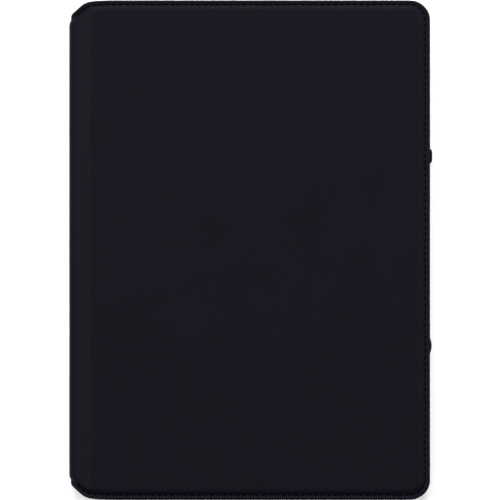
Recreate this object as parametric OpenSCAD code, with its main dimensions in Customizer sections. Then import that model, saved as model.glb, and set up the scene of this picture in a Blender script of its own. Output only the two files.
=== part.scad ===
// Padded folio case for a tablet: a hard tray on a back cover, a soft spine,
// a front cover, and a flat elastic strap that is stowed round the back.
// Frame: +X towards the opening edge, +Y towards the top, +Z out of the front
// cover. The case lies on its back cover, with the origin under its middle.

/* [Tablet] */
// Height of the tablet that the case holds
tablet_h = 240; // [200:1:300]
// Width of the tablet
tablet_w = 169.5; // [140:0.5:215]
// Thickness of the tablet
tablet_t = 7.5; // [6:0.1:12]
// Corner radius of the tablet
tablet_r = 12; // [6:0.5:20]
// Clearance round the tablet in the tray
tablet_gap = 0.3; // [0.1:0.05:0.8]

/* [Covers] */
// Distance that the covers reach past the tablet at the top and bottom
over_ends = 4.75; // [3.5:0.25:8]
// Distance from the tablet to the opening edge of the covers
over_open = 4; // [3:0.25:8]
// Distance from the tablet to the outer face of the spine
over_spine = 6.5; // [5.5:0.25:10]
// Radius of the covers' corners at the opening edge
corner_r = 10; // [6:0.5:20]
// Length of the 45 degree cut at the spine's corners, along each side
corner_cut = 10.5; // [6:0.5:13]
// Thickness of the leather
skin_t = 0.8; // [0.5:0.05:1.2]
// Thickness of the lining cloth
lining_t = 0.5; // [0.3:0.05:0.8]
// Thickness of the foam in the front cover
front_foam_t = 0.9; // [0.6:0.1:2]
// Thickness of the board in the front cover
front_board_t = 1.4; // [1.2:0.1:2.5]
// Thickness of the foam in the back cover
back_foam_t = 1.3; // [1.2:0.1:2.5]
// Thickness of the board in the back cover
back_board_t = 1.6; // [1.4:0.1:2.5]
// Free space between the tray and the closed front cover
cover_gap = 0.3; // [0.2:0.1:1]

/* [Spine] */
// Width of the soft crease on each face
crease_w = 11; // [9:0.5:14]
// Height of the soft crease from each face
crease_h = 5.5; // [4.5:0.25:6.5]
// Thickness of the board strip in the spine
spine_board_t = 1.2; // [0.8:0.1:1.6]

/* [Tray] */
// Thickness of the tray's walls
tray_wall = 1.4; // [1:0.1:2]
// Thickness of the tray's floor
tray_floor = 1.1; // [0.8:0.1:2]
// Thickness of the lips that hold the tablet in
lip_t = 0.9; // [0.7:0.1:1.5]
// Reach of the lips over the tablet's edge
lip_over = 1.2; // [0.8:0.1:2]
// Length of a lip from the bay's corner along each side
corner_lip = 28; // [16:1:40]
// Length of the lip at the middle of each long side
middle_lip = 24; // [10:1:40]
// Thickness of the soft pad on the tray's floor
pad_t = 0.4; // [0.2:0.1:1]
// Thickness of the adhesive sheet under the tray
bond_t = 0.2; // [0.1:0.05:0.5]
// Width of the border that the adhesive sheet leaves free
bond_inset = 6; // [3:0.5:15]
// Height of the sill that stays under each notch in the tray's wall
notch_sill = 1.6; // [1:0.1:2.5]
// Length of the notch for the volume buttons
volume_len = 34; // [24:1:40]
// Distance from the tablet's top edge to the middle of the volume buttons
volume_down = 50; // [46:1:60]
// Width of the notch for the power button
power_w = 20; // [14:1:24]
// Distance from the tablet's side to the middle of the power button
power_in = 24; // [22:1:34]
// Width of the notch for the headphone socket
headphone_w = 16; // [10:1:20]
// Distance from the tablet's side to the middle of the headphone socket
headphone_in = 24; // [22:1:34]
// Width of the notch for the charging port
port_w = 28; // [18:1:32]
// Width of the notch for each speaker
speaker_w = 24; // [14:1:28]
// Distance from the middle of the tablet to the middle of each speaker
speaker_out = 42; // [38:1:48]

/* [Camera window] */
// Distance of the camera from the tablet's top and opening edges
camera_in = 11; // [10:0.5:16]
// Radius of the clear window
camera_r = 6; // [4:0.25:7]
// Wall of the trim ring's sleeve
ring_wall = 0.9; // [0.6:0.1:1.5]
// Reach of the trim ring's rim past its sleeve
ring_rim = 1.3; // [0.8:0.1:2]

/* [Strap] */
// Width of the elastic strap
strap_w = 7; // [5:0.5:12]
// Thickness of the elastic strap
strap_t = 0.9; // [0.6:0.05:0.9]
// Distance between the strap's two legs, centre to centre
strap_spacing = 94; // [60:1:130]
// Distance from the knee to the middle of the cross-band
loop_reach = 22; // [12:1:35]
// Free space between the strap and the case
strap_gap = 0.3; // [0.2:0.05:0.5]
// Free space between the strap and the covers' opening edge
edge_gap = 0.2; // [0.15:0.05:0.4]
// Cut at the strap's two mitred corners
mitre_cut = 3; // [1:0.5:4.5]
// Length of the tail that is sewn inside the back cover
tail_len = 11; // [8:0.5:16]

/* [Stitching] */
// Distance from the cover's edge to the stitch line
seam_inset = 2.3; // [1.8:0.1:3.5]
// Distance from the stitch line to the padded field
field_margin = 1; // [0.8:0.1:2]
// Distance from one stitch to the next
stitch_pitch = 3.25; // [2.5:0.05:5]
// Length of a stitch
stitch_len = 2.1; // [1.2:0.1:2.3]
// Width of the thread
thread_w = 0.6; // [0.3:0.05:0.9]
// Height of the thread above the leather
thread_h = 0.25; // [0.15:0.05:0.3]
// Distance between the thread holes of the strap's sewn tails
tail_step = 2; // [1.6:0.1:2.4]
// Distance from the end of a tail to its first row of thread
tail_first = 1.5; // [1.2:0.1:2]
// Distance between the rows of thread at the strap's mitred corners, along each side
mitre_step = 1.6; // [1.3:0.1:1.8]
// Length of each row of thread at a mitred corner
mitre_len = 0.9; // [0.6:0.1:1.2]

/* [Magnets] */
// Length of each sleep magnet
magnet_len = 12; // [6:1:20]
// Width of each sleep magnet
magnet_w = 4; // [3:0.5:6]
// Thickness of each sleep magnet
magnet_t = 0.9; // [0.6:0.1:1]
// Distance from the covers' opening edge to the magnets
magnet_in = 12; // [9:1:20]
// Height of the upper magnet above the middle of the cover
magnet_high = 62; // [45:1:90]
// Height of the lower magnet above the middle of the cover
magnet_low = 18; // [-40:1:25]
// Room round each magnet in its pocket
magnet_room = 0.1; // [0.05:0.05:0.3]

/* [Hidden] */
$fn = 48;

// Heights of the layers, from the rest plane up
z_back_board = skin_t + back_foam_t;
z_back_lining = z_back_board + back_board_t;
z_bond = z_back_lining + lining_t;
z_tray = z_bond + bond_t;
z_bay = z_tray + tray_floor;
bay_t = pad_t + tablet_t + tablet_gap;
z_lip = z_bay + bay_t;
z_front_lining = z_lip + lip_t + cover_gap;
z_front_board = z_front_lining + lining_t;
z_front_foam = z_front_board + front_board_t;
case_t = z_front_foam + front_foam_t + skin_t;
z_back_flange = z_back_board - skin_t;
z_front_flange = z_front_foam + skin_t;

// The strap lies a little above the rest plane, under the back's flange level
z_strap = z_back_flange - strap_gap - strap_t;
strap_proud = edge_gap + strap_t;

// Places across the case, with the whole object centred on X = 0
case_w = over_spine + tablet_w + over_open;
case_h = tablet_h + 2 * over_ends;
x_spine = -(case_w + strap_proud) / 2;
x_edge = x_spine + case_w;
x_panel = x_spine + crease_w;
x_tablet = x_spine + over_spine + tablet_w / 2;
half_h = case_h / 2;

// The tray and its bay
bay_w = tablet_w + 2 * tablet_gap;
bay_h = tablet_h + 2 * tablet_gap;
bay_r = tablet_r + tablet_gap;
tray_h = z_lip + lip_t - z_tray;

// The camera window
x_camera = x_tablet + tablet_w / 2 - camera_in;
y_camera = tablet_h / 2 - camera_in;
sleeve_r = camera_r + ring_wall;
rim_r = sleeve_r + ring_rim;

// The field inside the stitch line, where the foam is
field_inset = seam_inset + field_margin;

// The strap's hinge line, and the knee where it turns over the front cover
x_swing = x_edge + edge_gap + strap_t / 2;
z_swing = z_strap + strap_t / 2;
leg_len = case_t + strap_gap + strap_t / 2 - z_swing;
x_knee = x_swing - leg_len;
x_band = x_knee - loop_reach;
wrap_r = 0.3;
joint_room = strap_t / 2 + wrap_r;

// Room beside the strap in its groove
groove_side = 0.5;

// Where the inner hinge cloth meets the edges of the two boards
z_low_cloth = z_back_board + (back_board_t - lining_t) / 2;
z_high_cloth = z_front_board + (front_board_t - lining_t) / 2;

// Room for the threads in the strap, overlap of a cut, and a length past everything
thread_room = 0.05;
cut = 0.01;
big = 2 * case_h;

// A rectangle with round corners, centred
module round_rect(w, h, r) {
    square([w - 2 * r, h], center = true);
    square([w, h - 2 * r], center = true);
    for (sx = [-1, 1], sy = [-1, 1])
        translate([sx * (w / 2 - r), sy * (h / 2 - r)]) circle(r);
}

// Outline of the whole closed case, drawn in from its edge by an inset
module cover_outline(inset) {
    r = corner_r - inset;
    top = half_h - inset;
    right = x_edge - inset;
    left = x_spine + inset;
    mitre = corner_cut + inset * (sqrt(2) - 1);
    polygon([
        [right - r, -top], [right - r, top], [x_spine + mitre, top],
        [left, half_h - mitre], [left, mitre - half_h], [x_spine + mitre, -top]
    ]);
    translate([0, r - top]) square([right, 2 * (top - r)]);
    for (sy = [-1, 1])
        translate([right - r, sy * (top - r)]) circle(r);
}

// Outline of one stiff cover panel, from the crease, or a reach before it, to the opening edge
module panel(inset, reach = 0) {
    intersection() {
        cover_outline(inset);
        translate([x_panel - reach, -half_h]) square([case_w, case_h]);
    }
}

// Wall of leather round the edge of a panel's boards
module panel_wall() {
    difference() {
        panel(0);
        panel(skin_t, cut);
    }
}

// Plan of the strap's two legs, from one x to another
module leg_plan(x_from, x_to, side) {
    for (sy = [-1, 1])
        translate([x_from, sy * strap_spacing / 2 - strap_w / 2 - side])
            square([x_to - x_from, strap_w + 2 * side]);
}

// Plan of the U that the strap's loop makes, open at x_from and wider by a side gap
module loop_plan(x_from, side) {
    outer = strap_spacing / 2 + strap_w / 2 + side;
    left = x_band - strap_w / 2 - side;
    polygon([
        [left, outer - mitre_cut], [left + mitre_cut, outer], [x_from, outer],
        [x_from, outer - strap_w - 2 * side], [left + strap_w + 2 * side, outer - strap_w - 2 * side],
        [left + strap_w + 2 * side, strap_w + 2 * side - outer], [x_from, strap_w + 2 * side - outer],
        [x_from, -outer], [left + mitre_cut, -outer], [left, mitre_cut - outer]
    ]);
}

// Padded field of the back cover: inside the stitches, with the strap's groove left out
module back_field(inset) {
    difference() {
        panel(field_inset + inset);
        loop_plan(x_knee, groove_side + inset);
        leg_plan(x_knee, x_edge, groove_side + inset);
    }
}

module camera_hole(r) {
    translate([x_camera, y_camera, -big / 2]) cylinder(h = big, r = r);
}

// A quarter of an oval, from the side point to the top point
function oval(a, b, n = 16) = [for (i = [0:n]) [-a * cos(90 * i / n), b * sin(90 * i / n)]];

// Section of a bent sheet between two quarter ovals
module bent_sheet(a, b, t) {
    inner = oval(a - t, b - t);
    polygon(concat(oval(a, b), [for (i = [len(inner) - 1:-1:0]) inner[i]]));
}

// A bent sheet along the crease, with its ends on the case's cut corners
module crease_sheet(a, b, t, z_mid, up) {
    intersection() {
        translate([x_panel, 0, z_mid]) rotate([90, 0, 0])
            linear_extrude(case_h, center = true) mirror([0, up ? 0 : 1]) bent_sheet(a, b, t);
        linear_extrude(case_t) cover_outline(0);
    }
}

// Upright strip of the spine between the two creases
module spine_strip(x, t) {
    reach = half_h - corner_cut;
    translate([x, -reach, crease_h]) cube([t, 2 * reach, case_t - 2 * crease_h]);
}

// Stitch number i along the seam: a run over the top, round the opening edge and back
seam_r = corner_r - seam_inset;
seam_x = x_edge - corner_r - max(x_panel, x_spine + corner_cut) - stitch_pitch / 2;
seam_arc = seam_r * PI / 2;
seam_y = case_h - 2 * corner_r;
seam_total = 2 * seam_x + 2 * seam_arc + seam_y;
stitches = floor(seam_total / stitch_pitch);

// Place and heading [x, y, angle] at a distance along the upper half of the seam
function seam_point(s) =
    s < seam_x ? [x_edge - corner_r - seam_x + s, half_h - seam_inset, 0]
    : s < seam_x + seam_arc ? seam_corner(90 - (s - seam_x) / seam_r * 180 / PI)
    : [x_edge - seam_inset, half_h - corner_r - (s - seam_x - seam_arc), 90];
function seam_corner(a) =
    [x_edge - corner_r + seam_r * cos(a), half_h - corner_r + seam_r * sin(a), a - 90];
function under_strap(y) = abs(abs(y) - strap_spacing / 2) < strap_w / 2 + stitch_len;

module stitch_row(z, skip_strap) {
    for (i = [0:stitches / 2]) {
        p = seam_point(seam_total / 2 - (i + 0.5) * stitch_pitch);
        if (!skip_strap || !under_strap(p[1]))
            for (sy = [-1, 1])
                translate([p[0], sy * p[1], z + thread_h / 2]) rotate([0, 0, sy * p[2]])
                    cube([stitch_len, thread_w, thread_h], center = true);
    }
}

// Leather over a padded panel: thin flange, raised field, and a wall round the boards
module back_skin() {
    color([0.10, 0.10, 0.13]) difference() {
        union() {
            translate([0, 0, z_back_flange]) linear_extrude(skin_t) panel(0);
            linear_extrude(z_back_board) back_field(0);
            translate([0, 0, z_back_flange]) linear_extrude(z_bond - z_back_flange) panel_wall();
        }
        translate([0, 0, skin_t]) linear_extrude(back_foam_t + cut) back_field(skin_t);
        translate([0, 0, z_back_lining - strap_t - strap_gap / 2]) linear_extrude(big)
            leg_plan(x_edge - skin_t - cut, x_edge + cut, groove_side);
        camera_hole(rim_r);
    }
}
module back_foam() {
    color("gray") difference() {
        translate([0, 0, skin_t]) linear_extrude(back_foam_t) back_field(skin_t);
        camera_hole(sleeve_r);
    }
}
module back_board() {
    color("tan") difference() {
        translate([0, 0, z_back_board]) linear_extrude(back_board_t) panel(skin_t);
        translate([0, 0, z_back_lining - strap_t - strap_gap / 2]) linear_extrude(big)
            leg_plan(x_edge - tail_len - strap_gap, x_edge, strap_gap / 2);
        tail_threads(thread_w / 2);
        camera_hole(sleeve_r);
    }
}
module back_lining() {
    color([0.16, 0.16, 0.18]) difference() {
        translate([0, 0, z_back_lining]) linear_extrude(lining_t) panel(skin_t);
        camera_hole(sleeve_r);
    }
}
module back_stitches() {
    color([0.05, 0.05, 0.07]) stitch_row(z_back_flange - thread_h, true);
}
module camera_ring() {
    color([0.08, 0.08, 0.09]) difference() {
        union() {
            translate([x_camera, y_camera, strap_gap]) cylinder(h = skin_t - strap_gap, r = rim_r);
            translate([x_camera, y_camera, skin_t - cut]) cylinder(h = z_bond - skin_t + cut, r = sleeve_r);
        }
        camera_hole(camera_r);
    }
}

module tray_bond() {
    color("beige") difference() {
        translate([x_tablet, 0, z_bond]) linear_extrude(bond_t) intersection() {
            round_rect(bay_w - 2 * bond_inset, bay_h - 2 * bond_inset, bay_r);
            translate([x_panel - x_tablet, -half_h]) square([case_w, case_h]);
        }
        camera_hole(rim_r);
    }
}

// A notch through one wall of the tray, open at the top
module notch(x, y, w, h) {
    translate([x_tablet + x - w / 2, y - h / 2, z_bay + notch_sill]) cube([w, h, big]);
}
module notches() {
    deep = 4 * (tray_wall + tablet_gap) + lip_over;
    notch(bay_w / 2, tablet_h / 2 - volume_down, deep, volume_len);
    notch(tablet_w / 2 - power_in, bay_h / 2, power_w, deep);
    notch(headphone_in - tablet_w / 2, bay_h / 2, headphone_w, deep);
    notch(0, -bay_h / 2, port_w, deep);
    for (sx = [-1, 1]) notch(sx * speaker_out, -bay_h / 2, speaker_w, deep);
}

// Stretches between the lips, where the tray's mouth is as wide as its bay
module lip_gaps() {
    long = bay_h - 2 * corner_lip;
    short = bay_w - 2 * corner_lip;
    run = (long - middle_lip) / 2;
    for (sy = [-1, 1])
        translate([0, sy * (middle_lip + run) / 2]) square([bay_w, run], center = true);
    square([short, bay_h], center = true);
}

module tray() {
    color([0.13, 0.13, 0.14]) difference() {
        translate([x_tablet, 0, z_tray]) linear_extrude(tray_h)
            round_rect(bay_w + 2 * tray_wall, bay_h + 2 * tray_wall, bay_r + tray_wall);
        translate([x_tablet, 0, z_bay]) linear_extrude(bay_t) round_rect(bay_w, bay_h, bay_r);
        translate([x_tablet, 0, z_lip - cut]) linear_extrude(big) {
            round_rect(bay_w - 2 * lip_over, bay_h - 2 * lip_over, bay_r - lip_over);
            lip_gaps();
        }
        notches();
        camera_hole(sleeve_r);
    }
}
module tray_pad() {
    color([0.22, 0.22, 0.24]) difference() {
        translate([x_tablet, 0, z_bay]) linear_extrude(pad_t)
            round_rect(tablet_w, tablet_h, tablet_r);
        camera_hole(sleeve_r);
    }
}

module lower_hinge_skin() {
    color([0.11, 0.11, 0.14]) crease_sheet(crease_w, crease_h, skin_t, crease_h, false);
}
module lower_hinge_cloth() {
    color([0.16, 0.16, 0.18])
        crease_sheet(crease_w - skin_t - spine_board_t, crease_h - z_low_cloth, lining_t, crease_h, false);
}

// The strap's tails, sewn between the back cover's board and lining
module strap_tails() {
    color([0.07, 0.07, 0.09]) difference() {
        translate([0, 0, z_back_lining - strap_t]) linear_extrude(strap_t)
            leg_plan(x_edge - tail_len, x_swing - joint_room, 0);
        tail_threads(thread_w / 2);
    }
}
module tail_threads(r) {
    for (sy = [-1, 1], ix = [0:2], iy = [-1:1])
        translate([
            x_edge - tail_len + tail_first + tail_step * ix, sy * strap_spacing / 2 + tail_step * iy,
            z_back_board - cut
        ]) cylinder(h = back_board_t + 2 * cut, r = r);
}
module tail_stitches() {
    color([0.05, 0.05, 0.07]) intersection() {
        tail_threads(thread_w / 2 - thread_room);
        translate([0, -half_h, z_back_board]) cube([case_w, case_h, back_board_t]);
    }
}

// The short stretch of strap that bends round the back cover's opening edge
module strap_wraps() {
    x_turn = x_swing - joint_room;
    low = z_strap + strap_t + wrap_r;
    high = z_back_lining - strap_t - wrap_r;
    color([0.07, 0.07, 0.09]) for (sy = [-1, 1])
        translate([x_turn, sy * strap_spacing / 2 + strap_w / 2, 0]) rotate([90, 0, 0]) linear_extrude(strap_w) {
            quarter_ring(low, -90);
            translate([wrap_r, low]) square([strap_t, high - low]);
            quarter_ring(high, 0);
        }
}
module quarter_ring(y, turn) {
    translate([0, y]) rotate(turn) intersection() {
        difference() {
            circle(wrap_r + strap_t);
            circle(wrap_r);
        }
        square(wrap_r + strap_t);
    }
}

module spine_skin() {
    color([0.12, 0.12, 0.15]) spine_strip(x_spine, skin_t);
}
module spine_board() {
    color("tan") spine_strip(x_spine + skin_t, spine_board_t);
}
module spine_cloth() {
    color([0.16, 0.16, 0.18]) spine_strip(x_spine + skin_t + spine_board_t, lining_t);
}

module upper_hinge_skin() {
    color([0.12, 0.12, 0.15]) crease_sheet(crease_w, crease_h, skin_t, case_t - crease_h, true);
}
module upper_hinge_cloth() {
    z_mid = case_t - crease_h;
    color([0.16, 0.16, 0.18])
        crease_sheet(crease_w - skin_t - spine_board_t, z_high_cloth + lining_t - z_mid, lining_t, z_mid, true);
}

module front_skin() {
    color([0.11, 0.11, 0.14]) difference() {
        union() {
            translate([0, 0, z_front_foam]) linear_extrude(skin_t) panel(0);
            translate([0, 0, z_front_foam]) linear_extrude(case_t - z_front_foam) panel(field_inset);
            translate([0, 0, z_front_lining]) linear_extrude(z_front_flange - z_front_lining) panel_wall();
        }
        translate([0, 0, z_front_foam - cut]) linear_extrude(front_foam_t + cut) panel(field_inset + skin_t);
    }
}
module front_foam() {
    color("gray") translate([0, 0, z_front_foam]) linear_extrude(front_foam_t) panel(field_inset + skin_t);
}
module front_board() {
    color("tan") difference() {
        translate([0, 0, z_front_board]) linear_extrude(front_board_t) panel(skin_t);
        magnet_blocks(magnet_room, lining_t);
    }
}
module front_lining() {
    color([0.16, 0.16, 0.18]) translate([0, 0, z_front_lining]) linear_extrude(lining_t) panel(skin_t);
}
module front_stitches() {
    color([0.05, 0.05, 0.07]) stitch_row(z_front_flange, false);
}
module magnet_blocks(room, down) {
    for (y = [magnet_high, magnet_low])
        translate([x_edge - magnet_in - magnet_w / 2 - room, y - magnet_len / 2 - room, z_front_board - down])
            cube([magnet_w + 2 * room, magnet_len + 2 * room, magnet_t + room + down]);
}
module sleep_magnets() {
    color("silver") magnet_blocks(0, 0);
}

// One leg of the strap, from the wrap to the knee
module strap_leg(side) {
    color([0.07, 0.07, 0.09])
        translate([x_knee + joint_room, side * strap_spacing / 2 - strap_w / 2, z_strap])
            cube([leg_len - 2 * joint_room, strap_w, strap_t]);
}
module strap_leg_top() {
    strap_leg(1);
}
module strap_leg_bottom() {
    strap_leg(-1);
}
module strap_knees() {
    color([0.07, 0.07, 0.09]) translate([0, 0, z_strap]) linear_extrude(strap_t)
        leg_plan(x_knee - joint_room, x_knee + joint_room, 0);
}
module strap_loop() {
    color([0.07, 0.07, 0.09]) translate([0, 0, z_strap]) linear_extrude(strap_t) difference() {
        loop_plan(x_knee - joint_room, 0);
        mitre_plan(thread_room);
    }
}
// Slanted rows of thread that join the band to the legs at the mitred corners
module mitre_plan(room) {
    for (sy = [-1, 1], i = [-1:1])
        translate([x_band + mitre_step * i, sy * (strap_spacing / 2 + mitre_step * i)]) rotate(sy * 45)
            square([mitre_len + 2 * room, thread_w + 2 * room], center = true);
}
module strap_mitres() {
    color([0.05, 0.05, 0.07]) translate([0, 0, z_strap]) linear_extrude(strap_t) mitre_plan(0);
}

back_skin();
back_foam();
back_board();
back_lining();
back_stitches();
camera_ring();
tray_bond();
tray();
tray_pad();
lower_hinge_skin();
lower_hinge_cloth();
strap_tails();
tail_stitches();
strap_wraps();
spine_skin();
spine_board();
spine_cloth();
upper_hinge_skin();
upper_hinge_cloth();
front_skin();
front_foam();
front_board();
front_lining();
front_stitches();
sleep_magnets();
strap_leg_top();
strap_leg_bottom();
strap_knees();
strap_loop();
strap_mitres();
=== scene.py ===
# %% [markdown]
# # A padded folio case for a tablet
# The case is two stiff covers in one sheet of soft artificial leather, joined by a soft spine. The back
# cover carries a hard tray that grips the tablet, and a flat elastic strap is stowed round the back.
# The CAD frame gives every place and every moving body; this lesson builds the soft shapes over it:
# the folded leather, the cloth inside, the seams and the elastic.

# %% Load the frame
import math

import bmesh
import bpy
import numpy as np
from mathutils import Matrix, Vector, noise


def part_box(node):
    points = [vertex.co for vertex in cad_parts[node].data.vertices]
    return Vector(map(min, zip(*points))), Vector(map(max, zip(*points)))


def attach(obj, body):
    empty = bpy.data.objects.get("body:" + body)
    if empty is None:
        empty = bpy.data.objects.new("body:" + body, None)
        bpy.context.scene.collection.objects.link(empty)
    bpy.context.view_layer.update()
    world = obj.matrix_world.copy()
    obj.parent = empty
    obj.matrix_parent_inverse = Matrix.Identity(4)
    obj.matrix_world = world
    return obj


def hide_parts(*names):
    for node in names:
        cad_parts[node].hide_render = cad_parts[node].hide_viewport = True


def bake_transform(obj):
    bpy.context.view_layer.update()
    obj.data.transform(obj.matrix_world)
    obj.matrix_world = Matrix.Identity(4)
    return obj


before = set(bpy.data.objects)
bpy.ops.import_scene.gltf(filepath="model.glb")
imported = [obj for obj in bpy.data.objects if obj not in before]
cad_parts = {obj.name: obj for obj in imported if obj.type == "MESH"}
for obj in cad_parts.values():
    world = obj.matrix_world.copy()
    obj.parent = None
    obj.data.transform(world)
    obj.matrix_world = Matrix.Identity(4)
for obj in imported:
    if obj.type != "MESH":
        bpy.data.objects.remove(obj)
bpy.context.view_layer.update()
MM = 0.001

# %% [markdown]
# ## The camera
# The case is looked at square-on from above its front cover. A near camera would make the lower
# layers look smaller than the front cover and hide the strap at the opening edge, so the camera stands
# far off with a very long lens. That keeps the outline true, and it works from every other side too.

# %% Camera
CAMERA_HEIGHT = 7.0
FRAME_WIDTH = 0.2497  # width of the view at the front cover
SENSOR_WIDTH = 36  # mm
CAMERA_SHIFT = -0.33 * MM  # the view is centred a little towards the spine
front_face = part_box("front_skin")[1].z
camera = bpy.data.objects.new("camera", bpy.data.cameras.new("camera"))
bpy.context.collection.objects.link(camera)
camera.data.sensor_width = SENSOR_WIDTH
camera.data.lens = SENSOR_WIDTH * CAMERA_HEIGHT / FRAME_WIDTH
camera.data.clip_end = 100
camera.location = (CAMERA_SHIFT, 0.0, front_face + CAMERA_HEIGHT)
bpy.context.scene.camera = camera
bpy.context.scene.view_settings.view_transform = "Standard"
print("lens", round(camera.data.lens), "mm")

# %% [markdown]
# ## Light and floor
# Black leather shows only what it mirrors. A broad soft lamp beyond the top edge lights the shoulder
# of the padding along that edge, and weaker lamps at both sides give the rolled spine its pale band.
# Nothing bright stands right above, or the whole flat face would turn grey. The floor is plain and
# pale. The world is a weak sky that fades out towards the horizon, so it fills the shadows on the
# floor without brightening the steep sides of the leather.

# %% Lamps, world and floor
SKY_HIGH, SKY_HORIZON = 0.55, 0.04  # strength of the sky overhead and at the horizon
SKY_FADE = (0.3, 0.8)  # height on the sky's sphere where it starts to brighten, and where it is full


def soft_lamp(name, place, size, power):
    """A rectangular area lamp at a place, turned to the origin."""
    data = bpy.data.lights.new(name, "AREA")
    data.shape = "RECTANGLE"
    data.size, data.size_y = size
    data.energy = power
    data.spread = math.pi
    lamp = bpy.data.objects.new(name, data)
    bpy.context.collection.objects.link(lamp)
    lamp.location = place
    lamp.rotation_euler = (-Vector(place)).to_track_quat("-Z", "Y").to_euler()


soft_lamp("lamp_top", (0, 1.4, 1.05), (1.6, 0.8), 41)
soft_lamp("lamp_left", (-1.0, 0.2, 1.35), (0.7, 1.4), 22)
soft_lamp("lamp_right", (1.1, 0.2, 1.2), (0.7, 1.4), 17.5)

world = bpy.data.worlds.new("studio")
bpy.context.scene.world = world
world.use_nodes = True
sky = world.node_tree
sky_place = sky.nodes.new("ShaderNodeTexCoord")
sky_split = sky.nodes.new("ShaderNodeSeparateXYZ")
sky_fade = sky.nodes.new("ShaderNodeMapRange")
sky_fade.interpolation_type = "SMOOTHSTEP"
sky_fade.inputs["From Min"].default_value, sky_fade.inputs["From Max"].default_value = SKY_FADE
sky_fade.inputs["To Min"].default_value = SKY_HORIZON
sky_fade.inputs["To Max"].default_value = SKY_HIGH
sky.links.new(sky_place.outputs["Generated"], sky_split.inputs[0])
sky.links.new(sky_split.outputs["Z"], sky_fade.inputs["Value"])
sky.links.new(sky_fade.outputs["Result"], sky.nodes["Background"].inputs["Strength"])
sky.nodes["Background"].inputs["Color"].default_value = (1, 1, 1, 1)


def plain_material(name, colour, roughness):
    """A new material with a Principled shader and its tree."""
    material = bpy.data.materials.new(name)
    material.use_nodes = True
    shader = material.node_tree.nodes["Principled BSDF"]
    shader.inputs["Base Color"].default_value = (*colour, 1)
    shader.inputs["Roughness"].default_value = roughness
    return material, material.node_tree, shader


FLOOR_HALF = 3.0
FLOOR_Z = -0.05 * MM  # just under the back, so that no face of the case lies in it
floor_mesh = bpy.data.meshes.new("floor")
floor_mesh.from_pydata(
    [(sx * FLOOR_HALF, sy * FLOOR_HALF, FLOOR_Z) for sx, sy in ((-1, -1), (1, -1), (1, 1), (-1, 1))],
    [], [(0, 1, 2, 3)])
floor = bpy.data.objects.new("floor", floor_mesh)
bpy.context.collection.objects.link(floor)
floor_mesh.materials.append(plain_material("floor_paint", (0.93, 0.93, 0.93), 0.9)[0])

# %% [markdown]
# ## Sizes from the frame
# Every size that the CAD fixed is measured from its boxes: where the spine, the crease, the panel and
# the opening edge are, how high the padding stands over the sewn flange, and where the seam runs.

# %% Measures
skin_lo, skin_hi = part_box("front_skin")
strip_lo, strip_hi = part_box("spine_skin")
thread_lo, thread_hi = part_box("front_stitches")
X_SPINE, X_PANEL, X_EDGE = strip_lo.x, skin_lo.x, skin_hi.x
HALF_H, TOP = skin_hi.y, skin_hi.z
CREASE_W, CREASE_H = X_PANEL - X_SPINE, TOP - strip_hi.z
THREAD = 0.6 * MM
SEAM_IN = X_EDGE - thread_hi.x + THREAD / 2  # from the edge to the middle of the seam
CORNER_R = 10 * MM  # corners at the opening edge
CORNER_CUT = 7.6 * MM  # length of the cut at the spine's corners, along each side
CUT_ROUNDING = 3.0 * MM
CUT_LEAN = 0.05  # the cut goes a little deeper towards the middle of the spine
FRONT_RISE = TOP - thread_lo.z
FRONT_DEPTH = thread_lo.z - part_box("front_lining")[0].z
BACK_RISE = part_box("back_stitches")[1].z
BACK_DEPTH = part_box("back_lining")[1].z - BACK_RISE
print("case", [round(v / MM, 1) for v in (X_EDGE - X_SPINE, 2 * HALF_H, TOP)], "mm")
print("padding over the flange", round(FRONT_RISE / MM, 2), "seam inset", round(SEAM_IN / MM, 2))

# %% [markdown]
# ## A cover laid out flat
# A bookbinder cuts the leather flat and then wraps it. The same idea makes it easy here: every soft
# piece is first described on the flat sheet, with p the distance from the middle of the spine, y the
# height, and h the height above the sewn flange. `Sheet.place` then wraps it over the spine: straight
# up the strip, round the oval shoulder and along the panel. The back is the same, mirrored in Z.

# %% The wrapped sheet
def ramp(v, a, b):
    """Rises smoothly from 0 at a to 1 at b."""
    t = np.clip((v - a) / (b - a), 0, 1)
    return t * t * (3 - 2 * t)


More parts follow.
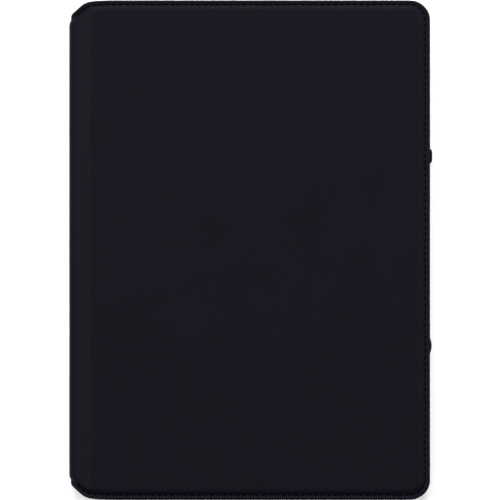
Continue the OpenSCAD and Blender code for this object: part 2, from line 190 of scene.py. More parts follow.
class Sheet:
    """The flat layout of one cover with its half of the spine, and how it wraps."""

    def __init__(self, rise, depth, mirrored):
        self.rise, self.depth, self.mirrored = rise, depth, mirrored
        z_turn = TOP - CREASE_H
        a, b = CREASE_W - rise, CREASE_H - rise
        angle = np.linspace(0, math.pi / 2, 181)
        x = np.concatenate([[X_SPINE + rise], X_PANEL - a * np.cos(angle), [X_EDGE + 5 * MM]])
        z = np.concatenate([[TOP / 2], z_turn + b * np.sin(angle), [z_turn + b]])
        self.p = np.concatenate([[0], np.cumsum(np.hypot(np.diff(x), np.diff(z)))])
        nx, nz = -b * np.cos(angle), a * np.sin(angle)
        length = np.hypot(nx, nz)
        self.x, self.z = x, z
        self.nx = np.concatenate([[-1], nx / length, [0]])
        self.nz = np.concatenate([[0], nz / length, [1]])
        self.p_strip, self.p_panel = self.p[1], self.p[-2]
        self.p_edge = self.p_panel + X_EDGE - X_PANEL

    def at_x(self, p):
        """The X that a column of the flat sheet comes to."""
        return np.interp(p, self.p, self.x)

    def place(self, p, y, h):
        """Points of the wrapped sheet, as an array of rows x, y, z."""
        p, y, h = np.broadcast_arrays(np.asarray(p, float), y, h)
        x = self.at_x(p) + h * np.interp(p, self.p, self.nx)
        z = np.interp(p, self.p, self.z) + h * np.interp(p, self.p, self.nz)
        return np.stack([x, y, TOP - z if self.mirrored else z], axis=-1)

    def half_height(self, p):
        """Half the height of the leather at p: the cut corners by the spine, the round ones by the edge."""
        p = np.asarray(p, float)
        fall = TOP - self.rise - np.interp(p, self.p, self.z)
        along = self.at_x(p) - X_SPINE - CUT_LEAN * fall**2 / CREASE_H
        u = CORNER_CUT - along
        cut = 0.5 * (u + np.sqrt(u * u + CUT_ROUNDING**2)) * (1 - ramp(along, 10 * MM, 24 * MM))
        out = np.clip(p - (self.p_edge - CORNER_R), 0, CORNER_R)
        return HALF_H - cut - CORNER_R + np.sqrt(np.maximum(CORNER_R**2 - out**2, 0))

    def slope(self, p):
        """How steeply the outline rises with p."""
        step = 0.05 * MM
        return (self.half_height(p + step) - self.half_height(p - step)) / (2 * step)

    def inset(self, p, y):
        """Distance from a point of the sheet to its outline, at the top, bottom and opening edges."""
        p, y = np.broadcast_arrays(np.asarray(p, float), np.abs(y))
        past_cut = self.p_panel + 30 * MM
        steep = np.where(p < past_cut, self.slope(np.minimum(p, past_cut)), 0)
        d = np.minimum((self.half_height(np.minimum(p, self.p_edge - CORNER_R)) - y) / np.hypot(1, steep),
                       self.p_edge - p)
        cx, cy = p - (self.p_edge - CORNER_R), y - (HALF_H - CORNER_R)
        return np.where((cx > 0) & (cy > 0), CORNER_R - np.hypot(cx, cy), d)

    def thickness(self, p):
        """From the flange's top down to the inner face: thin at the spine, thick with the boards."""
        thin = 2.5 * MM - self.rise
        return thin + (self.depth - thin) * ramp(self.at_x(p), X_PANEL - 4 * MM, X_PANEL - 0.4 * MM)


front_sheet = Sheet(FRONT_RISE, FRONT_DEPTH, False)
back_sheet = Sheet(BACK_RISE, BACK_DEPTH, True)
print("leather, middle of spine to edge:", round(front_sheet.p_edge / MM, 1), "mm")

# %% [markdown]
# ## The padded relief
# Under the leather a thin foam stops just inside the seam. So from the edge inward the surface runs
# flat, dips where the thread pulls it down, then climbs over about 3 mm onto the padding and goes on
# almost level. A faint unevenness, made with smooth noise, keeps the face from looking machined.

# %% Relief of the padding
PAD_START = SEAM_IN + 0.35 * MM
PAD_CLIMB, PAD_ROUND = 3.3 * MM, 2.2  # width of the climb onto the padding, and how round it is
PINCH_DEPTH, PINCH_WIDTH = 0.30 * MM, 0.55 * MM  # the dip that the thread pulls
SPINE_SWELL = 0.16 * MM  # the leather bows out along the middle of the spine


def relief(sheet, p, y):
    """Height of the leather above its flange."""
    d = sheet.inset(p, y)
    t = np.clip((d - PAD_START) / PAD_CLIMB, 0, 1)
    pad = sheet.rise * (1 - (1 - t) ** PAD_ROUND)
    pinch = PINCH_DEPTH * np.exp(-(((d - SEAM_IN) / PINCH_WIDTH) ** 2))
    swell = SPINE_SWELL * (1 - ramp(p, 1.5 * MM, sheet.p_strip + 3 * MM))
    return pad - pinch * ramp(p, sheet.p_strip, sheet.p_strip + 2 * MM) + swell


def unevenness(points, size, amount, seed=0.0):
    """Smooth noise at each point, at most about the amount either way."""
    return np.array([noise.noise(Vector(q) / size + Vector((seed, seed, seed))) for q in points]) * amount


# %% [markdown]
# ## Meshing a sheet
# The leather could be a box with bevels, but its cut corners, round corners and wrapped spine need
# different edges. A grid over the flat layout takes them all: its columns follow p and its rows
# follow the outline, close together near the edges and wide in the middle. The border is then carried
# round the edge, down the side and under, as turned-in leather is, and Solidify gives it its thickness.

# %% Grid and turned edge
EDGE_R = 0.8 * MM  # radius of the folded edge
EDGE_SWELL = 0.22 * MM  # the folded edge bows out at the opening side
TURN_IN = 2.9 * MM  # width of the border that is turned in
SKIN_T = 0.6 * MM  # thickness of the leather
# Rows in mm from the border, and columns in mm from the last one
EDGE_ROWS = [0, 0.35, 0.7, 1.0, 1.3, 1.6, 2.0, 2.4, 2.9, 3.5, 4.2, 5.0, 6.0, 7.6, 10]
EDGE_COLUMNS = [0.4, 0.8, 1.2, 1.6, 2.1, 2.7, 3.4, 4.3]
CORE_HALF = 100 * MM  # half height of the plain middle of the grid
ROUND_STEPS, UNDER_STEPS = 6, 5  # steps round the upper and the lower rim of the folded edge


def spaced(a, b, step):
    """Even values from a to b, about a step apart."""
    return list(np.linspace(a, b, max(2, int(round(abs(b - a) / step)) + 1)))


def tidy_list(values, gap=0.12 * MM):
    """Sorted values with none closer than the gap."""
    kept = []
    for v in sorted(values):
        if not kept or v - kept[-1] > gap:
            kept.append(v)
    return kept


def grid_columns(sheet, extra=()):
    """Values of p for the grid's columns, close together at the shoulder and by the opening edge."""
    last = sheet.p_edge - EDGE_R
    turn = np.linspace(0, math.pi / 2, 15)
    corner = last - (CORNER_R - EDGE_R) * (1 - np.sin(turn))
    cols = spaced(0, sheet.p_strip, 0.9 * MM) + spaced(sheet.p_strip, sheet.p_panel, 0.55 * MM)
    cols += spaced(sheet.p_panel, sheet.p_panel + 6 * MM, 0.8 * MM)
    cols += spaced(sheet.p_panel + 6 * MM, corner[0], 3 * MM) + list(corner)
    cols += [last - e * MM for e in EDGE_COLUMNS]
    return np.array(tidy_list(cols + [c for c in extra if c < last]))


def grid_rows(extra=()):
    """Fixed heights in the middle of the sheet, for its upper half."""
    return np.array(tidy_list(spaced(0, CORE_HALF, 3 * MM) + [e for e in extra if 0 <= e <= CORE_HALF]))


def border_height(sheet, p):
    """Half height of the grid at p: the outline drawn in by the edge's radius."""
    out = np.clip(p - (sheet.p_edge - CORNER_R), 0, None)
    arc = HALF_H - CORNER_R + np.sqrt(np.maximum((CORNER_R - EDGE_R) ** 2 - out**2, 0))
    left = sheet.half_height(p) - EDGE_R * np.hypot(1, sheet.slope(p))
    return np.where(p > sheet.p_edge - CORNER_R, arc, left)


def sheet_grid(sheet, columns, core):
    """Arrays p and y over the sheet, rows running from its bottom to its top."""
    top = border_height(sheet, columns)
    edge = [top - e * MM for e in reversed(EDGE_ROWS)]
    shift = (edge[0] - core[-1]) / 3
    upper = [np.full_like(columns, y) for y in core[1:]] + [core[-1] + shift, core[-1] + 2 * shift] + edge
    rows = [-r for r in reversed(upper)] + [np.zeros_like(columns)] + upper
    return np.broadcast_to(columns, (len(rows), len(columns))), np.array(rows)


def quads(rows, cols):
    """Faces between the points of a grid that is stored row by row."""
    return [(r * cols + c, r * cols + c + 1, (r + 1) * cols + c + 1, (r + 1) * cols + c)
            for r in range(rows - 1) for c in range(cols - 1)]


def border_ring(sheet, p, y):
    """Indices round the grid's open border, and the outward direction at each: bottom, edge, top."""
    rows, cols = p.shape
    ring = [(0, c) for c in range(cols)] + [(r, cols - 1) for r in range(1, rows)]
    ring += [(rows - 1, c) for c in range(cols - 2, -1, -1)]
    outs = []
    for r, c in ring:
        cx = p[r, c] - (sheet.p_edge - CORNER_R)
        cy = abs(y[r, c]) - (HALF_H - CORNER_R)
        if cx > 0 and cy > 0:
            out = (cx, cy)
        elif c == cols - 1:
            out = (1, 0)
        else:
            out = (-float(sheet.slope(p[r, c])), 1)
        size = math.hypot(*out)
        outs.append((out[0] / size, math.copysign(out[1], y[r, c]) / size if out[1] else 0))
    return ring, np.array(outs)


def edge_profile(depth):
    """(outward, down) steps from the grid's border round the edge and under it, in metres."""
    steps = []
    for k in range(1, ROUND_STEPS + 1):
        a = math.pi / 2 * k / ROUND_STEPS
        steps.append((EDGE_R * math.sin(a), EDGE_R * (1 - math.cos(a))))
    low = depth - EDGE_R
    for k in range(UNDER_STEPS + 1):
        a = math.pi / 2 * k / UNDER_STEPS
        steps.append((EDGE_R * math.cos(a), low + EDGE_R * math.sin(a)))
    steps += [(-(TURN_IN - EDGE_R) * f, depth) for f in (0.3, 0.65, 1.0)]
    return steps


WELD_DISTANCE = 0.002 * MM
SHARP_ANGLE = math.radians(50)


def new_piece(name, vertices, faces, material):
    """An object from points and faces, with smooth shading and outward normals."""
    mesh = bpy.data.meshes.new(name)
    mesh.from_pydata([tuple(v) for v in vertices], [], faces)
    piece = bpy.data.objects.new(name, mesh)
    bpy.context.collection.objects.link(piece)
    work = bmesh.new()
    work.from_mesh(mesh)
    bmesh.ops.remove_doubles(work, verts=work.verts, dist=WELD_DISTANCE)
    bmesh.ops.recalc_face_normals(work, faces=work.faces)
    work.to_mesh(mesh)
    work.free()
    mesh.polygons.foreach_set("use_smooth", [True] * len(mesh.polygons))
    mesh.materials.append(material)
    return piece


def applied(piece):
    """Bakes the piece's modifiers into its mesh."""
    graph = bpy.context.evaluated_depsgraph_get()
    graph.update()
    mesh = bpy.data.meshes.new_from_object(piece.evaluated_get(graph))
    piece.modifiers.clear()
    piece.data = mesh
    return piece


def thicken(piece, thickness, inward=True):
    """Gives a surface its thickness, and marks only the steep edges sharp."""
    solid = piece.modifiers.new("thickness", "SOLIDIFY")
    solid.thickness = thickness
    solid.offset = -1 if inward else 1
    solid.use_even_offset = False
    applied(piece)
    piece.data.set_sharp_from_angle(angle=SHARP_ANGLE)
    return piece


def cover_leather(name, sheet, height, extra_p=(), extra_y=()):
    """The leather of one cover: padded face, rounded edge, side and turned-in border."""
    columns = grid_columns(sheet, extra_p)
    p, y = sheet_grid(sheet, columns, grid_rows(extra_y))
    h = height(p, y)
    grid = sheet.place(p, y, h)
    rows, cols = p.shape
    vertices = list(grid.reshape(-1, 3))
    faces = quads(rows, cols)
    ring, outs = border_ring(sheet, p, y)
    at = np.array([p[i] for i in ring]), np.array([y[i] for i in ring])
    start = np.array([h[i] for i in ring])
    deep = sheet.thickness(at[0])
    before = [r * cols + c for r, c in ring]
    for k in range(len(edge_profile(1.0))):
        step = np.array([edge_profile(d)[k] for d in deep])
        fade = max(0, 1 - k / (ROUND_STEPS - 1))
        swell = EDGE_SWELL * np.maximum(outs[:, 0], 0) * np.clip(step[:, 0] / EDGE_R, 0, 1) ** 3
        points = sheet.place(at[0] + outs[:, 0] * step[:, 0] + swell, at[1] + outs[:, 1] * step[:, 0],
                             start * fade - step[:, 1])
        now = list(range(len(vertices), len(vertices) + len(ring)))
        vertices += list(points)
        faces += [(before[i], before[i + 1], now[i + 1], now[i]) for i in range(len(ring) - 1)]
        before = now
    return new_piece(name, vertices, faces, leather)


# %% [markdown]
# ## Shared surface effects
# Leather, moulded plastic, cloth and elastic all need fine relief, and most need a slow change of tone.
# Each effect is a node group that is built once and placed in every material with its own values:
# `mottle` is a soft cloudy mask, `pebble` is the height of a cellular grain, `streak` is a fibre-like
# height drawn out along the piece, and `weave` is the height of crossing yarns.

# %% Node groups
def node_group(name, inputs, outputs):
    """An empty shader group with float inputs and outputs."""
    group = bpy.data.node_groups.new(name, "ShaderNodeTree")
    for label, value in inputs:
        group.interface.new_socket(label, in_out="INPUT", socket_type="NodeSocketFloat").default_value = value
    for label in outputs:
        group.interface.new_socket(label, in_out="OUTPUT", socket_type="NodeSocketFloat")
    return group, group.nodes.new("NodeGroupInput"), group.nodes.new("NodeGroupOutput")


def add(tree, kind, **settings):
    """A new node with its settings."""
    node = tree.nodes.new(kind)
    for key, value in settings.items():
        setattr(node, key, value)
    return node


def maths(tree, operation, *values):
    """A Math node fed by sockets or numbers; gives its output."""
    node = add(tree, "ShaderNodeMath", operation=operation)
    for i, value in enumerate(values):
        if isinstance(value, (int, float)):
            node.inputs[i].default_value = value
        else:
            tree.links.new(value, node.inputs[i])
    return node.outputs[0]


def object_place(tree, stretch=(1, 1, 1)):
    """Object coordinates in millimetres, squeezed along the axes."""
    coord = add(tree, "ShaderNodeTexCoord")
    mapping = add(tree, "ShaderNodeMapping")
    mapping.inputs["Scale"].default_value = [1000 * s for s in stretch]
    tree.links.new(coord.outputs["Object"], mapping.inputs["Vector"])
    return mapping.outputs["Vector"]


def noise_node(tree, place, scale, detail, roughness):
    """Smooth noise at a place; gives its output."""
    node = add(tree, "ShaderNodeTexNoise")
    tree.links.new(place, node.inputs["Vector"])
    tree.links.new(scale, node.inputs["Scale"])
    node.inputs["Detail"].default_value = detail
    node.inputs["Roughness"].default_value = roughness
    return node.outputs["Fac"]


def per_size(tree, size):
    """The scale that gives features of this size in millimetres."""
    return maths(tree, "DIVIDE", 1.0, size)


mottle, m_in, m_out = node_group("mottle", [("Size mm", 20.0)], ["Mask"])
cloud = noise_node(mottle, object_place(mottle), per_size(mottle, m_in.outputs[0]), 3, 0.55)
mottle.links.new(maths(mottle, "MULTIPLY_ADD", cloud, 2.0, -0.5), m_out.inputs[0])

pebble, g_in, g_out = node_group("pebble", [("Size mm", 0.5), ("Fine", 0.35)], ["Height"])
pebble_place = object_place(pebble, (1, 0.8, 1))
cells = add(pebble, "ShaderNodeTexVoronoi", feature="SMOOTH_F1")
cells.inputs["Smoothness"].default_value = 0.6
pebble.links.new(pebble_place, cells.inputs["Vector"])
pebble.links.new(per_size(pebble, g_in.outputs[0]), cells.inputs["Scale"])
fine_grain = noise_node(pebble, pebble_place, maths(pebble, "DIVIDE", 3.0, g_in.outputs[0]), 3, 0.6)
bulge = maths(pebble, "SUBTRACT", 1.0, cells.outputs["Distance"])
pebble.links.new(maths(pebble, "MULTIPLY_ADD", fine_grain, g_in.outputs[1], bulge), g_out.inputs[0])

streak, s_in, s_out = node_group("streak", [("Size mm", 0.8)], ["Height"])
streak_place = object_place(streak, (1, 0.16, 1))
streak.links.new(noise_node(streak, streak_place, per_size(streak, s_in.outputs[0]), 4, 0.6), s_out.inputs[0])

weave, w_in, w_out = node_group("weave", [("Across mm", 0.5), ("Along mm", 0.5)], ["Height"])
weave_split = add(weave, "ShaderNodeSeparateXYZ")
weave.links.new(object_place(weave), weave_split.inputs[0])
across = maths(weave, "MULTIPLY", maths(weave, "DIVIDE", weave_split.outputs[0], w_in.outputs[0]), math.pi)
along = maths(weave, "MULTIPLY", maths(weave, "DIVIDE", weave_split.outputs[1], w_in.outputs[1]), math.pi)
waves = maths(weave, "MULTIPLY", maths(weave, "SINE", across), maths(weave, "SINE", along))
weave.links.new(maths(weave, "ABSOLUTE", waves), w_out.inputs[0])
print("groups", [g.name for g in bpy.data.node_groups])

# %% [markdown]
# ## Materials
# One helper makes every material the same way: a base colour that a mottle mask shifts a little, a
# roughness that the same mask shifts, and heights from the groups through Bump nodes. The shader
# stays in the material, and constants are set on its own sockets.

# %% Material helper
ROUGH_SHIFT = 0.06


def placed_group(tree, group, **values):
    """A group's node with its inputs set; gives its output."""
    node = add(tree, "ShaderNodeGroup", node_tree=group)
    for key, value in values.items():
        node.inputs[key.replace("_", " ")].default_value = value
    return node.outputs[0]


def finish_material(name, colour, second, roughness, bump, mottle_size=22.0,
                    rough_shift=ROUGH_SHIFT, **sockets):
    """A Principled material. bump is a list of (group, values, height in mm)."""
    material, tree, shader = plain_material(name, colour, roughness)
    mask = placed_group(tree, mottle, Size_mm=mottle_size)
    mix = add(tree, "ShaderNodeMix", data_type="RGBA")
    mix.inputs["A"].default_value = (*colour, 1)
    mix.inputs["B"].default_value = (*second, 1)
    tree.links.new(mask, mix.inputs["Factor"])
    tree.links.new(mix.outputs["Result"], shader.inputs["Base Color"])
    rough = maths(tree, "MULTIPLY_ADD", mask, rough_shift, roughness - rough_shift / 2)
    tree.links.new(rough, shader.inputs["Roughness"])
    normal = None
    for group, values, height in bump:
        node = add(tree, "ShaderNodeBump")
        node.inputs["Distance"].default_value = height * MM
        node.inputs["Strength"].default_value = 1.0
        tree.links.new(placed_group(tree, group, **values), node.inputs["Height"])
        if normal:
            tree.links.new(normal, node.inputs["Normal"])
        normal = node.outputs["Normal"]
    if normal:
        tree.links.new(normal, shader.inputs["Normal"])
    for label, value in sockets.items():
        shader.inputs[label.replace("_", " ")].default_value = value
    return material


# %% The finishes
leather = finish_material(
    "navy_leather", (0.00175, 0.00145, 0.0038), (0.0022, 0.0019, 0.0046), 0.50,
    [(streak, dict(Size_mm=1.7), 0.28), (pebble, dict(Size_mm=0.6, Fine=0.4), 0.035)],
    rough_shift=0.08, Specular_IOR_Level=0.048)
lining = finish_material(
    "lining_cloth", (0.018, 0.018, 0.022), (0.024, 0.024, 0.029), 0.95,
    [(streak, dict(Size_mm=0.25), 0.03), (pebble, dict(Size_mm=0.3, Fine=0.8), 0.05)],
    mottle_size=9.0, Specular_IOR_Level=0.15, Sheen_Weight=0.25, Sheen_Roughness=0.5)
pad_cloth = finish_material(
    "pad_cloth", (0.030, 0.030, 0.034), (0.040, 0.040, 0.045), 0.95,
    [(pebble, dict(Size_mm=0.35, Fine=0.8), 0.06)],
    mottle_size=7.0, Specular_IOR_Level=0.15, Sheen_Weight=0.3, Sheen_Roughness=0.5)
thread = finish_material(
    "seam_thread", (0.0005, 0.0004, 0.0010), (0.0008, 0.0007, 0.0014), 0.85,
    [(weave, dict(Across_mm=0.25, Along_mm=0.25), 0.05)], mottle_size=3.0, Specular_IOR_Level=0.02)
elastic = finish_material(
    "strap_elastic", (0.0008, 0.0007, 0.0016), (0.0013, 0.0011, 0.0024), 0.9,
    [(weave, dict(Across_mm=0.55, Along_mm=0.55), 0.10), (streak, dict(Size_mm=0.2), 0.02)],
    mottle_size=4.0, Specular_IOR_Level=0.01)
tray_plastic = finish_material(
    "tray_plastic", (0.010, 0.010, 0.012), (0.013, 0.013, 0.015), 0.42,
    [(pebble, dict(Size_mm=0.22, Fine=0.6), 0.012)], mottle_size=30.0)
ring_plastic = finish_material(
    "ring_plastic", (0.008, 0.008, 0.010), (0.011, 0.011, 0.013), 0.3,
    [(pebble, dict(Size_mm=0.3, Fine=0.5), 0.006)], mottle_size=8.0)
board = finish_material(
    "grey_board", (0.30, 0.24, 0.17), (0.38, 0.31, 0.23), 0.9,
    [(streak, dict(Size_mm=0.4), 0.05)], mottle_size=5.0)
foam = finish_material(
    "foam", (0.20, 0.20, 0.21), (0.27, 0.27, 0.28), 0.95,
    [(pebble, dict(Size_mm=0.4, Fine=0.8), 0.08)], mottle_size=3.0)
adhesive = finish_material(
    "adhesive", (0.50, 0.46, 0.36), (0.60, 0.56, 0.46), 0.35,
    [(streak, dict(Size_mm=1.2), 0.02)], mottle_size=12.0)
magnet = finish_material(
    "magnet_metal", (0.56, 0.55, 0.53), (0.66, 0.65, 0.62), 0.25,
    [(streak, dict(Size_mm=0.3), 0.004)], mottle_size=2.0, Metallic=1.0)
print("materials", len(bpy.data.materials))

# %% [markdown]
# ## The front leather
# The largest and most visible piece: the padded face, the flange with its seam, the shoulder and the
# upper half of the spine, in one sheet. It runs over two moving parts, the spine and the front cover.

# %% Front leather
SHOULDER_TILT = math.tan(math.radians(10))


def shoulder_drop(sheet, p):
    """How far the shoulder lies under its oval: pulled tight, it is a flat slope from the panel on."""
    u = np.clip(X_PANEL - sheet.at_x(p), 0, CREASE_W - 0.01 * MM)
    oval = CREASE_H * (1 - np.sqrt(1 - (u / CREASE_W) ** 2))
    tight = SHOULDER_TILT * (u + 0.2 * MM) * ramp(u, -1.0 * MM, 2.8 * MM)
    return np.where(p > sheet.p_strip, np.clip(tight - oval, 0, None), 0)


def front_height(p, y):
    """Height of the front leather above its flange."""
    flat = front_sheet.place(p, y, 0).reshape(-1, 3)
    waves = unevenness(flat, 26 * MM, 0.05 * MM) + unevenness(flat, 7 * MM, 0.012 * MM, 5.0)
    settle = ramp(front_sheet.inset(p, y), 2.5 * MM, 9 * MM)
    return relief(front_sheet, p, y) + waves.reshape(p.shape) * settle - shoulder_drop(front_sheet, p)


front_leather = thicken(cover_leather("front_leather", front_sheet, front_height), SKIN_T)
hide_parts("front_skin", "upper_hinge_skin", "spine_skin")
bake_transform(front_leather)
print("front leather", len(front_leather.data.vertices), "points")

# %% [markdown]
# ## The back leather
# The back is made the same way, with three differences. The stowed strap lies in a shallow pressed
# channel, so the padding drops to the flange's level along the U of the strap. A round window for the
# tablet's camera goes right through, and the trim ring covers its cut edge. Two slots in the side let
# the strap out. Booleans cut the window and the slots.

# %% Strap plan and back leather
leg_lo, leg_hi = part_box("strap_leg_top")
loop_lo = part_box("strap_loop")[0]
ring_lo, ring_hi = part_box("camera_ring")
STRAP_Y = (leg_lo.y + leg_hi.y) / 2
STRAP_HALF = (leg_hi.y - leg_lo.y) / 2
STRAP_Z = (leg_lo.z + leg_hi.z) / 2
STRAP_T = leg_hi.z - leg_lo.z
X_BAND = loop_lo.x + STRAP_HALF  # middle line of the loop's band
CHANNEL_HALF = STRAP_HALF + 0.5 * MM
CHANNEL_WALL = 1.6 * MM


def strap_distance(x, y):
    """Distance from a point to the middle line of the strap's U, in plan."""
    y = np.abs(y)
    leg = np.hypot(np.minimum(x - X_BAND, 0), y - STRAP_Y)
    band = np.hypot(x - X_BAND, np.maximum(y - STRAP_Y, 0))
    return np.minimum(leg, band)


def back_height(p, y):
    """Height of the back leather above its flange, with the strap's channel pressed in."""
    flat = back_sheet.place(p, y, 0).reshape(-1, 3)
    waves = unevenness(flat, 26 * MM, 0.04 * MM, 9.0)
    raised = relief(back_sheet, p, y)
    away = strap_distance(back_sheet.at_x(p), y)
    channel = ramp(away, CHANNEL_HALF, CHANNEL_HALF + CHANNEL_WALL)
    settle = ramp(back_sheet.inset(p, y), 2.5 * MM, 9 * MM) * channel
    lowered = np.where(raised > 0, raised * channel, raised)
    return lowered + np.minimum(waves.reshape(p.shape), 0) * settle


# More rows and columns where the channel's walls are
channel_steps = [CHANNEL_HALF + e * MM for e in (-0.3, 0, 0.3, 0.6, 0.9, 1.2, 1.6, 2.0)]
channel_rows = [STRAP_Y + s * c for s in (-1, 1) for c in channel_steps]
channel_p = [back_sheet.p_panel + X_BAND - X_PANEL + s * c for s in (-1, 1) for c in channel_steps]
back_leather = thicken(
    cover_leather("back_leather", back_sheet, back_height, channel_p, channel_rows), SKIN_T)


def cut_away(piece, work):
    """Takes the shape of a bmesh away from a piece, and frees the bmesh."""
    tool = bpy.data.meshes.new("cutter")
    work.to_mesh(tool)
    work.free()
    cutter = bpy.data.objects.new("cutter", tool)
    bpy.context.collection.objects.link(cutter)
    hole = piece.modifiers.new("hole", "BOOLEAN")
    hole.operation, hole.solver, hole.object = "DIFFERENCE", "EXACT", cutter
    applied(piece)
    bpy.data.objects.remove(cutter)


def cut_window(piece, radius, low, high):
    """Cuts a round hole through a piece at the camera window, between two heights."""
    work = bmesh.new()
    bmesh.ops.create_cone(work, cap_ends=True, segments=64, radius1=radius, radius2=radius, depth=high - low)
    middle = ((ring_lo.x + ring_hi.x) / 2, (ring_lo.y + ring_hi.y) / 2, (low + high) / 2)
    bmesh.ops.translate(work, verts=work.verts, vec=middle)
    cut_away(piece, work)


def cut_slot(piece, low, high):
    """Cuts a box-shaped slot through a piece, between two corners."""
    work = bmesh.new()
    bmesh.ops.create_cube(work, size=1)
    bmesh.ops.scale(work, verts=work.verts, vec=high - low)
    bmesh.ops.translate(work, verts=work.verts, vec=(high + low) / 2)
    cut_away(piece, work)


RING_RADIUS = (ring_hi.x - ring_lo.x) / 2
WINDOW_TOP = 8 * MM  # above everything that the camera window goes through
cut_window(back_leather, RING_RADIUS - 0.15 * MM, -1 * MM, WINDOW_TOP)

tail_lo, tail_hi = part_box("strap_tails")
BOTTOM_SLIP = -0.8 * MM  # the lower wrap has slipped a little sideways
SLOT_GAP = Vector((0, 0.05 * MM, 0.1 * MM))  # clearance round the strap where it comes out
for middle in (STRAP_Y, BOTTOM_SLIP - STRAP_Y):
    cut_slot(back_leather,
             Vector((X_EDGE - 1.4 * MM, middle - STRAP_HALF, tail_lo.z)) - SLOT_GAP,
             Vector((X_EDGE + 1 * MM, middle + STRAP_HALF, tail_hi.z)) + SLOT_GAP)
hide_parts("back_skin", "lower_hinge_skin")
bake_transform(back_leather)
print("back leather", len(back_leather.data.vertices), "points")

# %% [markdown]
# ## The linings
# Inside, a short-pile cloth is laid over the turned-in leather's opening and on across the crease to
# the spine. It is a thin sheet on the same flat layout, with rounded corners and a soft edge, and it
# wraps over the spine as the leather does. The back lining has the camera's window too.

# %% Lining sheets
CLOTH = 0.45 * MM  # thickness of the cloth
CORNER_ZONE = 8 * MM  # width of the closer columns at the round corners
EDGE_SHARE = 0.96  # share of the half height with wide rows; the rest has closer ones


def lining_sheet(name, sheet):
    """A sheet of cloth that fills the border of turned leather, on the inner side."""
    shoulder_end = sheet.p_panel + 4 * MM
    corner_start = sheet.p_edge - TURN_IN - CORNER_ZONE
    columns = np.array(tidy_list(
        spaced(0, shoulder_end, 0.7 * MM)
        + spaced(shoulder_end, corner_start, 3 * MM)
        + [corner_start + CORNER_ZONE * math.sin(a) for a in np.linspace(0, math.pi / 2, 12)]))
    radius = CORNER_R - TURN_IN
    out = np.clip(columns - (sheet.p_edge - CORNER_R), 0, radius)
    arc = HALF_H - CORNER_R + np.sqrt(np.maximum(radius**2 - out**2, 0))
    left = sheet.half_height(columns) - TURN_IN * np.hypot(1, sheet.slope(columns))
    half = np.where(columns > sheet.p_edge - CORNER_R, arc, left)
    share = np.concatenate([np.linspace(-1, -EDGE_SHARE, 5)[:-1], np.linspace(-EDGE_SHARE, EDGE_SHARE, 61),
                            np.linspace(EDGE_SHARE, 1, 5)[1:]])
    p, f = np.meshgrid(columns, share)
    y = f * half
    inner = -sheet.thickness(p)
    waves = unevenness(sheet.place(p, y, 0).reshape(-1, 3), 12 * MM, 0.03 * MM, 3.0).reshape(p.shape)
    points = sheet.place(p, y, inner + np.abs(waves))
    piece = new_piece(name, points.reshape(-1, 3), quads(*p.shape), lining)
    up = piece.data.polygons[len(piece.data.polygons) // 2].normal.z
    outward = (up < 0) != sheet.mirrored
    thicken(piece, CLOTH, inward=outward)
    return piece


front_lining = lining_sheet("front_lining_cloth", front_sheet)
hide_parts("front_lining", "upper_hinge_cloth", "spine_cloth")
back_lining = lining_sheet("back_lining_cloth", back_sheet)
cut_window(back_lining, RING_RADIUS - 1.4 * MM, 2 * MM, WINDOW_TOP)
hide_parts("back_lining", "lower_hinge_cloth")
for cloth, panel_body, rests in (
        (front_lining, "front_cover", "front_board"), (back_lining, "back_cover", "back_board")):
    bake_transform(cloth)

# %% [markdown]
# ## The seams
# Each cover is sewn once round its three free edges and its cut corners. A lockstitch shows as short
# raised grains of thread that sink into the leather at both ends. Each grain is a small swollen tube
# on the flat layout, so that the ones on the cut corners wrap with the leather. The same holes show a
# second row on the inner border.

# %% Seam threads
PITCH = 3.25 * MM
GRAIN = 2.35 * MM  # length of a stitch
GRAIN_HALF = 0.33 * MM  # half its width
GRAIN_LIFT, GRAIN_ARCH, GRAIN_SINK = 0.24, 0.12, 0.26  # mm: half its height, its arch, how deep it sits
RINGS, RING_POINTS = 7, 6  # rings along a stitch, and points round each
random = np.random.default_rng(7)


def seam_line(sheet):
    """Points (p, y) along the upper half of the seam, from the middle of the opening edge."""
    radius = CORNER_R - SEAM_IN
    line = [(sheet.p_edge - SEAM_IN, y) for y in spaced(0, HALF_H - CORNER_R, 2 * MM)]
    for a in np.linspace(0, math.pi / 2, 16)[1:]:
        line.append((sheet.p_edge - CORNER_R + radius * math.cos(a),
                     HALF_H - CORNER_R + radius * math.sin(a)))
    for p in spaced(sheet.p_edge - CORNER_R, sheet.p_strip + 1 * MM, 0.8 * MM)[1:]:
        line.append((p, float(sheet.half_height(p)) - SEAM_IN * math.hypot(1, float(sheet.slope(p)))))
    return np.array(line)


def tube_faces(rings, around, base=0):
    """Faces of a closed tube whose rings of points follow each other, with both ends capped."""
    faces = []
    for r in range(rings - 1):
        for k in range(around):
            a, b = base + r * around + k, base + r * around + (k + 1) % around
            faces.append((a, b, b + around, a + around))
    last = base + (rings - 1) * around
    return faces + [tuple(range(base, base + around)), tuple(reversed(range(last, last + around)))]


